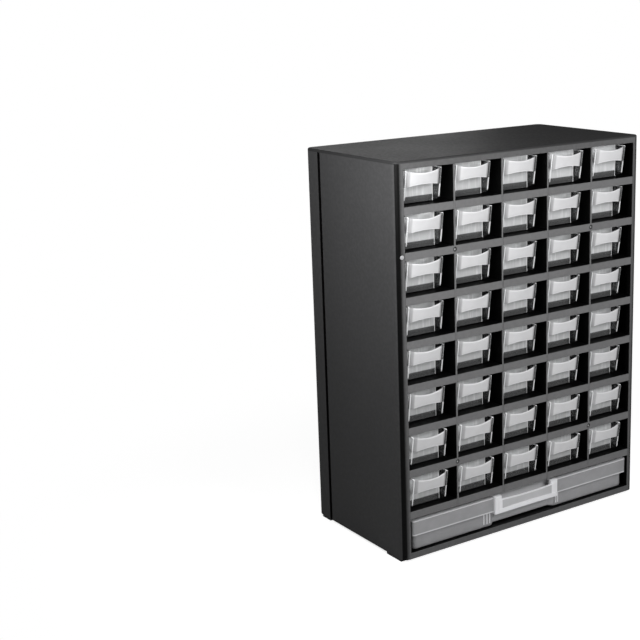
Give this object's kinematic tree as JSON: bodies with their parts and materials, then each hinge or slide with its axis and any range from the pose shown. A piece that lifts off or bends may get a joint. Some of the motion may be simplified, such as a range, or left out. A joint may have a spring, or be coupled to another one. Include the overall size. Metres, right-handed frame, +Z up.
{
  "type": "parts bin cabinet",
  "caption": "Black freestanding or wall-hung cabinet with rows of small clear pull-out bins above a wide frosted drawer, for sorting screws, beads and other small parts.",
  "frame": {"origin": "on the ground, in the middle of the footprint", "axes": "+X to the right seen from the front, -Y the way the drawers pull out, +Z up"},
  "size_m": [0.3, 0.1592, 0.382],
  "materials": {
    "case_black": "black moulded polystyrene, fine satin grain",
    "plug_grey": "light grey moulded plug",
    "screw_steel": "blackened steel",
    "bin_clear": "clear polystyrene with a frosted pull",
    "drawer_frosted": "frosted translucent polypropylene"
  },
  "bodies": {
    "root": {"case_shell": "case_black", "rear_cover": "case_black", "shelf_1": "case_black", "shelf_2": "case_black", "shelf_3": "case_black", "shelf_4": "case_black", "shelf_5": "case_black", "shelf_6": "case_black", "shelf_7": "case_black", "shelf_8": "case_black", "divider_1": "case_black", "divider_2": "case_black", "divider_3": "case_black", "divider_4": "case_black", "rack_pins": "case_black", "stile_plug": "plug_grey", "cover_screws": "screw_steel"},
    "drawer_r1c1": {"drawer_r1c1": "bin_clear"},
    "drawer_r1c2": {"drawer_r1c2": "bin_clear"},
    "drawer_r1c3": {"drawer_r1c3": "bin_clear"},
    "drawer_r1c4": {"drawer_r1c4": "bin_clear"},
    "drawer_r1c5": {"drawer_r1c5": "bin_clear"},
    "drawer_r2c1": {"drawer_r2c1": "bin_clear"},
    "drawer_r2c2": {"drawer_r2c2": "bin_clear"},
    "drawer_r2c3": {"drawer_r2c3": "bin_clear"},
    "drawer_r2c4": {"drawer_r2c4": "bin_clear"},
    "drawer_r2c5": {"drawer_r2c5": "bin_clear"},
    "drawer_r3c1": {"drawer_r3c1": "bin_clear"},
    "drawer_r3c2": {"drawer_r3c2": "bin_clear"},
    "drawer_r3c3": {"drawer_r3c3": "bin_clear"},
    "drawer_r3c4": {"drawer_r3c4": "bin_clear"},
    "drawer_r3c5": {"drawer_r3c5": "bin_clear"},
    "drawer_r4c1": {"drawer_r4c1": "bin_clear"},
    "drawer_r4c2": {"drawer_r4c2": "bin_clear"},
    "drawer_r4c3": {"drawer_r4c3": "bin_clear"},
    "drawer_r4c4": {"drawer_r4c4": "bin_clear"},
    "drawer_r4c5": {"drawer_r4c5": "bin_clear"},
    "drawer_r5c1": {"drawer_r5c1": "bin_clear"},
    "drawer_r5c2": {"drawer_r5c2": "bin_clear"},
    "drawer_r5c3": {"drawer_r5c3": "bin_clear"},
    "drawer_r5c4": {"drawer_r5c4": "bin_clear"},
    "drawer_r5c5": {"drawer_r5c5": "bin_clear"},
    "drawer_r6c1": {"drawer_r6c1": "bin_clear"},
    "drawer_r6c2": {"drawer_r6c2": "bin_clear"},
    "drawer_r6c3": {"drawer_r6c3": "bin_clear"},
    "drawer_r6c4": {"drawer_r6c4": "bin_clear"},
    "drawer_r6c5": {"drawer_r6c5": "bin_clear"},
    "drawer_r7c1": {"drawer_r7c1": "bin_clear"},
    "drawer_r7c2": {"drawer_r7c2": "bin_clear"},
    "drawer_r7c3": {"drawer_r7c3": "bin_clear"},
    "drawer_r7c4": {"drawer_r7c4": "bin_clear"},
    "drawer_r7c5": {"drawer_r7c5": "bin_clear"},
    "drawer_r8c1": {"drawer_r8c1": "bin_clear"},
    "drawer_r8c2": {"drawer_r8c2": "bin_clear"},
    "drawer_r8c3": {"drawer_r8c3": "bin_clear"},
    "drawer_r8c4": {"drawer_r8c4": "bin_clear"},
    "drawer_r8c5": {"drawer_r8c5": "bin_clear"},
    "large_drawer": {"large_drawer": "drawer_frosted"}
  },
  "joints": [
    {"name": "drawer_r1c1_slide", "type": "slide", "parent": "root", "child": "drawer_r1c1", "axis": [0, -1, 0], "range_m": [0, 0.1196]},
    {"name": "drawer_r1c2_slide", "type": "slide", "parent": "root", "child": "drawer_r1c2", "axis": [0, -1, 0], "range_m": [0, 0.1196]},
    {"name": "drawer_r1c3_slide", "type": "slide", "parent": "root", "child": "drawer_r1c3", "axis": [0, -1, 0], "range_m": [0, 0.1196]},
    {"name": "drawer_r1c4_slide", "type": "slide", "parent": "root", "child": "drawer_r1c4", "axis": [0, -1, 0], "range_m": [-0.003, 0.1166]},
    {"name": "drawer_r1c5_slide", "type": "slide", "parent": "root", "child": "drawer_r1c5", "axis": [0, -1, 0], "range_m": [-0.003, 0.1166]},
    {"name": "drawer_r2c1_slide", "type": "slide", "parent": "root", "child": "drawer_r2c1", "axis": [0, -1, 0], "range_m": [-0.0018, 0.1178]},
    {"name": "drawer_r2c2_slide", "type": "slide", "parent": "root", "child": "drawer_r2c2", "axis": [0, -1, 0], "range_m": [-0.0018, 0.1178]},
    {"name": "drawer_r2c3_slide", "type": "slide", "parent": "root", "child": "drawer_r2c3", "axis": [0, -1, 0], "range_m": [0, 0.1196]},
    {"name": "drawer_r2c4_slide", "type": "slide", "parent": "root", "child": "drawer_r2c4", "axis": [0, -1, 0], "range_m": [0, 0.1196]},
    {"name": "drawer_r2c5_slide", "type": "slide", "parent": "root", "child": "drawer_r2c5", "axis": [0, -1, 0], "range_m": [0, 0.1196]},
    {"name": "drawer_r3c1_slide", "type": "slide", "parent": "root", "child": "drawer_r3c1", "axis": [0, -1, 0], "range_m": [0, 0.1196]},
    {"name": "drawer_r3c2_slide", "type": "slide", "parent": "root", "child": "drawer_r3c2", "axis": [0, -1, 0], "range_m": [0, 0.1196]},
    {"name": "drawer_r3c3_slide", "type": "slide", "parent": "root", "child": "drawer_r3c3", "axis": [0, -1, 0], "range_m": [0, 0.1196]},
    {"name": "drawer_r3c4_slide", "type": "slide", "parent": "root", "child": "drawer_r3c4", "axis": [0, -1, 0], "range_m": [0, 0.1196]},
    {"name": "drawer_r3c5_slide", "type": "slide", "parent": "root", "child": "drawer_r3c5", "axis": [0, -1, 0], "range_m": [0, 0.1196]},
    {"name": "drawer_r4c1_slide", "type": "slide", "parent": "root", "child": "drawer_r4c1", "axis": [0, -1, 0], "range_m": [0, 0.1196]},
    {"name": "drawer_r4c2_slide", "type": "slide", "parent": "root", "child": "drawer_r4c2", "axis": [0, -1, 0], "range_m": [0, 0.1196]},
    {"name": "drawer_r4c3_slide", "type": "slide", "parent": "root", "child": "drawer_r4c3", "axis": [0, -1, 0], "range_m": [0, 0.1196]},
    {"name": "drawer_r4c4_slide", "type": "slide", "parent": "root", "child": "drawer_r4c4", "axis": [0, -1, 0], "range_m": [0, 0.1196]},
    {"name": "drawer_r4c5_slide", "type": "slide", "parent": "root", "child": "drawer_r4c5", "axis": [0, -1, 0], "range_m": [0, 0.1196]},
    {"name": "drawer_r5c1_slide", "type": "slide", "parent": "root", "child": "drawer_r5c1", "axis": [0, -1, 0], "range_m": [0, 0.1196]},
    {"name": "drawer_r5c2_slide", "type": "slide", "parent": "root", "child": "drawer_r5c2", "axis": [0, -1, 0], "range_m": [0, 0.1196]},
    {"name": "drawer_r5c3_slide", "type": "slide", "parent": "root", "child": "drawer_r5c3", "axis": [0, -1, 0], "range_m": [0, 0.1196]},
    {"name": "drawer_r5c4_slide", "type": "slide", "parent": "root", "child": "drawer_r5c4", "axis": [0, -1, 0], "range_m": [0, 0.1196]},
    {"name": "drawer_r5c5_slide", "type": "slide", "parent": "root", "child": "drawer_r5c5", "axis": [0, -1, 0], "range_m": [0, 0.1196]},
    {"name": "drawer_r6c1_slide", "type": "slide", "parent": "root", "child": "drawer_r6c1", "axis": [0, -1, 0], "range_m": [0, 0.1196]},
    {"name": "drawer_r6c2_slide", "type": "slide", "parent": "root", "child": "drawer_r6c2", "axis": [0, -1, 0], "range_m": [0, 0.1196]},
    {"name": "drawer_r6c3_slide", "type": "slide", "parent": "root", "child": "drawer_r6c3", "axis": [0, -1, 0], "range_m": [0, 0.1196]},
    {"name": "drawer_r6c4_slide", "type": "slide", "parent": "root", "child": "drawer_r6c4", "axis": [0, -1, 0], "range_m": [0, 0.1196]},
    {"name": "drawer_r6c5_slide", "type": "slide", "parent": "root", "child": "drawer_r6c5", "axis": [0, -1, 0], "range_m": [0, 0.1196]},
    {"name": "drawer_r7c1_slide", "type": "slide", "parent": "root", "child": "drawer_r7c1", "axis": [0, -1, 0], "range_m": [-0.0027, 0.1169]},
    {"name": "drawer_r7c2_slide", "type": "slide", "parent": "root", "child": "drawer_r7c2", "axis": [0, -1, 0], "range_m": [-0.0027, 0.1169]},
    {"name": "drawer_r7c3_slide", "type": "slide", "parent": "root", "child": "drawer_r7c3", "axis": [0, -1, 0], "range_m": [-0.0012, 0.1184]},
    {"name": "drawer_r7c4_slide", "type": "slide", "parent": "root", "child": "drawer_r7c4", "axis": [0, -1, 0], "range_m": [-0.0021, 0.1175]},
    {"name": "drawer_r7c5_slide", "type": "slide", "parent": "root", "child": "drawer_r7c5", "axis": [0, -1, 0], "range_m": [-0.003, 0.1166]},
    {"name": "drawer_r8c1_slide", "type": "slide", "parent": "root", "child": "drawer_r8c1", "axis": [0, -1, 0], "range_m": [-0.003, 0.1166]},
    {"name": "drawer_r8c2_slide", "type": "slide", "parent": "root", "child": "drawer_r8c2", "axis": [0, -1, 0], "range_m": [-0.003, 0.1166]},
    {"name": "drawer_r8c3_slide", "type": "slide", "parent": "root", "child": "drawer_r8c3", "axis": [0, -1, 0], "range_m": [-0.003, 0.1166]},
    {"name": "drawer_r8c4_slide", "type": "slide", "parent": "root", "child": "drawer_r8c4", "axis": [0, -1, 0], "range_m": [-0.003, 0.1166]},
    {"name": "drawer_r8c5_slide", "type": "slide", "parent": "root", "child": "drawer_r8c5", "axis": [0, -1, 0], "range_m": [-0.003, 0.1166]},
    {"name": "large_drawer_slide", "type": "slide", "parent": "root", "child": "large_drawer", "axis": [0, -1, 0], "range_m": [0, 0.1196]}
  ]
}
